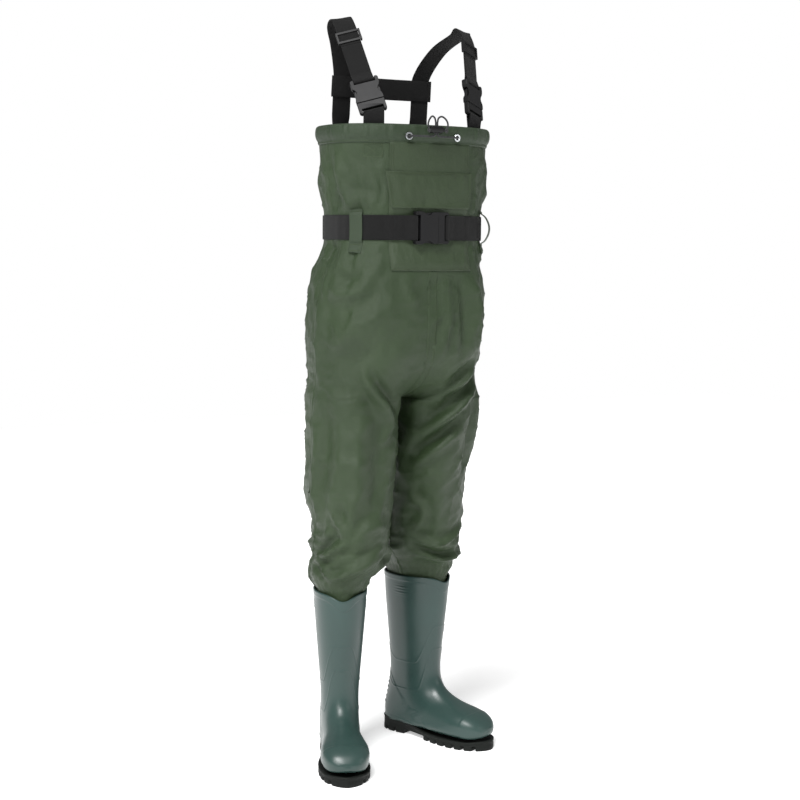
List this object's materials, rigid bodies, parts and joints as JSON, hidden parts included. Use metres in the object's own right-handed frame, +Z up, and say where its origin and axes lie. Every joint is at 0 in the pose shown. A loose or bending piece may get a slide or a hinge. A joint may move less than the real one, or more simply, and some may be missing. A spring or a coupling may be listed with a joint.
{
  "type": "chest waders",
  "caption": "Chest waders: coated fabric bib and legs with moulded boots, drawcord rim, chest pocket, waist belt and shoulder straps with side-release buckles.",
  "frame": {"origin": "on the floor, at the middle of the bounding box's footprint", "axes": "+Z up, -Y towards the wearer's front, -X towards the wearer's right"},
  "size_m": [0.4422, 0.3534, 1.5705],
  "materials": {
    "nylon": "satin",
    "nylon_trim": "satin",
    "webbing": "matte",
    "plastic": "satin",
    "pvc": "satin",
    "sole_rubber": "matte",
    "cord": "matte",
    "nickel": "polished",
    "foam": "matte",
    "seam_tape": "satin",
    "steel": "satin"
  },
  "bodies": {
    "waders": {"back_centre_seam_tape": "seam_tape", "back_cross_strap": "webbing", "belt_adjusting_end": "webbing", "belt_buckle_socket": "plastic", "chest_patch": "nylon", "chest_pocket": "nylon", "drawcord": "cord", "front_centre_seam_tape": "seam_tape", "left_back_panel": "nylon", "left_boot_sole": "sole_rubber", "left_boot_upper": "pvc", "left_eyelet": "nickel", "left_front_belt_loop": "nylon_trim", "left_front_panel": "nylon", "left_front_tab": "webbing", "left_inseam_tape": "seam_tape", "left_insole": "foam", "left_rear_belt_loop": "nylon_trim", "left_shoulder_strap": "webbing", "left_side_seam_tape": "seam_tape", "left_strap_buckle_plug": "plastic", "left_strap_loop": "webbing", "pocket_loop_tape": "webbing", "right_back_panel": "nylon", "right_boot_sole": "sole_rubber", "right_boot_upper": "pvc", "right_eyelet": "nickel", "right_front_belt_loop": "nylon_trim", "right_front_panel": "nylon", "right_front_tab": "webbing", "right_inseam_tape": "seam_tape", "right_insole": "foam", "right_rear_belt_loop": "nylon_trim", "right_shoulder_strap": "webbing", "right_side_seam_tape": "seam_tape", "right_strap_buckle_plug": "plastic", "right_strap_loop": "webbing", "rim_hem": "nylon_trim", "waist_belt": "webbing"},
    "belt_plug": {"belt_buckle_plug": "plastic"},
    "belt_arm_a": {"belt_buckle_arm_a": "plastic"},
    "belt_arm_b": {"belt_buckle_arm_b": "plastic"},
    "flap": {"pocket_flap": "nylon", "flap_hook_tape": "webbing"},
    "cord_lock": {"cord_lock_body": "plastic", "cord_lock_spring": "steel"},
    "cord_lock_button": {"cord_lock_button": "plastic"},
    "right_socket": {"right_strap_buckle_socket": "plastic"},
    "right_arm_a": {"right_strap_buckle_arm_a": "plastic"},
    "right_arm_b": {"right_strap_buckle_arm_b": "plastic"},
    "right_adjuster": {"right_strap_adjuster": "plastic"},
    "left_socket": {"left_strap_buckle_socket": "plastic"},
    "left_arm_a": {"left_strap_buckle_arm_a": "plastic"},
    "left_arm_b": {"left_strap_buckle_arm_b": "plastic"},
    "left_adjuster": {"left_strap_adjuster": "plastic"}
  },
  "joints": [
    {"name": "belt_buckle_release", "type": "slide", "parent": "waders", "child": "belt_plug", "axis": [1, 0, 0], "range_m": [0, 0.032], "deforming": ["belt_adjusting_end", "belt_buckle_arm_a", "belt_buckle_arm_b"]},
    {"name": "belt_latch_a", "type": "hinge", "parent": "belt_plug", "child": "belt_arm_a", "pos_m": [0.0078, -0.16115, 1.1135], "axis": [0, 1, 0], "range_deg": [0, 8], "stiffness_Nm_per_rad": 0.6},
    {"name": "belt_latch_b", "type": "hinge", "parent": "belt_plug", "child": "belt_arm_b", "pos_m": [0.0078, -0.16115, 1.1625], "axis": [0, -1, 0], "range_deg": [0, 8], "stiffness_Nm_per_rad": 0.6},
    {"name": "right_strap_buckle_release", "type": "slide", "parent": "waders", "child": "right_socket", "axis": [-0.0528, 0.5126, 0.857], "range_m": [0, 0.032], "deforming": ["right_strap_loop", "right_strap_buckle_arm_a", "right_strap_buckle_arm_b"]},
    {"name": "right_latch_a", "type": "hinge", "parent": "waders", "child": "right_arm_a", "pos_m": [-0.13741, -0.10128, 1.38436], "axis": [0.4228, 0.789, -0.4459], "range_deg": [0, 8], "stiffness_Nm_per_rad": 0.6},
    {"name": "right_latch_b", "type": "hinge", "parent": "waders", "child": "right_arm_b", "pos_m": [-0.10032, -0.11517, 1.39495], "axis": [-0.4228, -0.789, 0.4459], "range_deg": [0, 8], "stiffness_Nm_per_rad": 0.6},
    {"name": "right_strap_adjust", "type": "slide", "parent": "waders", "child": "right_adjuster", "axis": [0.0528, -0.5126, -0.857], "range_m": [0, 0.03], "deforming": ["right_strap_loop"]},
    {"name": "left_strap_buckle_release", "type": "slide", "parent": "waders", "child": "left_socket", "axis": [0.1266, 0.3494, 0.9284], "range_m": [0, 0.032], "deforming": ["left_strap_loop", "left_strap_buckle_arm_a", "left_strap_buckle_arm_b"]},
    {"name": "left_latch_a", "type": "hinge", "parent": "waders", "child": "left_arm_a", "pos_m": [0.10259, -0.12017, 1.39685], "axis": [-0.4563, 0.8515, -0.2582], "range_deg": [0, 8], "stiffness_Nm_per_rad": 0.6},
    {"name": "left_latch_b", "type": "hinge", "parent": "waders", "child": "left_arm_b", "pos_m": [0.1387, -0.10414, 1.3859], "axis": [0.4563, -0.8515, 0.2582], "range_deg": [0, 8], "stiffness_Nm_per_rad": 0.6},
    {"name": "left_strap_adjust", "type": "slide", "parent": "waders", "child": "left_adjuster", "axis": [-0.1266, -0.3494, -0.9284], "range_m": [0, 0.03], "deforming": ["left_strap_loop"]},
    {"name": "pocket_flap_lift", "type": "hinge", "parent": "waders", "child": "flap", "pos_m": [0, -0.15515, 1.251], "axis": [-1, 0, 0], "range_deg": [0, 150]},
    {"name": "cord_lock_slide", "type": "slide", "parent": "waders", "child": "cord_lock", "axis": [0, 0, 1], "range_m": [0, 0.008]},
    {"name": "cord_lock_press", "type": "slide", "parent": "cord_lock", "child": "cord_lock_button", "axis": [-1, 0, 0], "range_m": [0, 0.004], "stiffness_N_per_m": 400, "deforming": ["cord_lock_spring"]}
  ],
  "couplings": [
    {"joint": "belt_latch_b", "follows": "belt_latch_a", "ratio": 1},
    {"joint": "right_latch_b", "follows": "right_latch_a", "ratio": 1},
    {"joint": "left_latch_b", "follows": "left_latch_a", "ratio": 1}
  ]
}
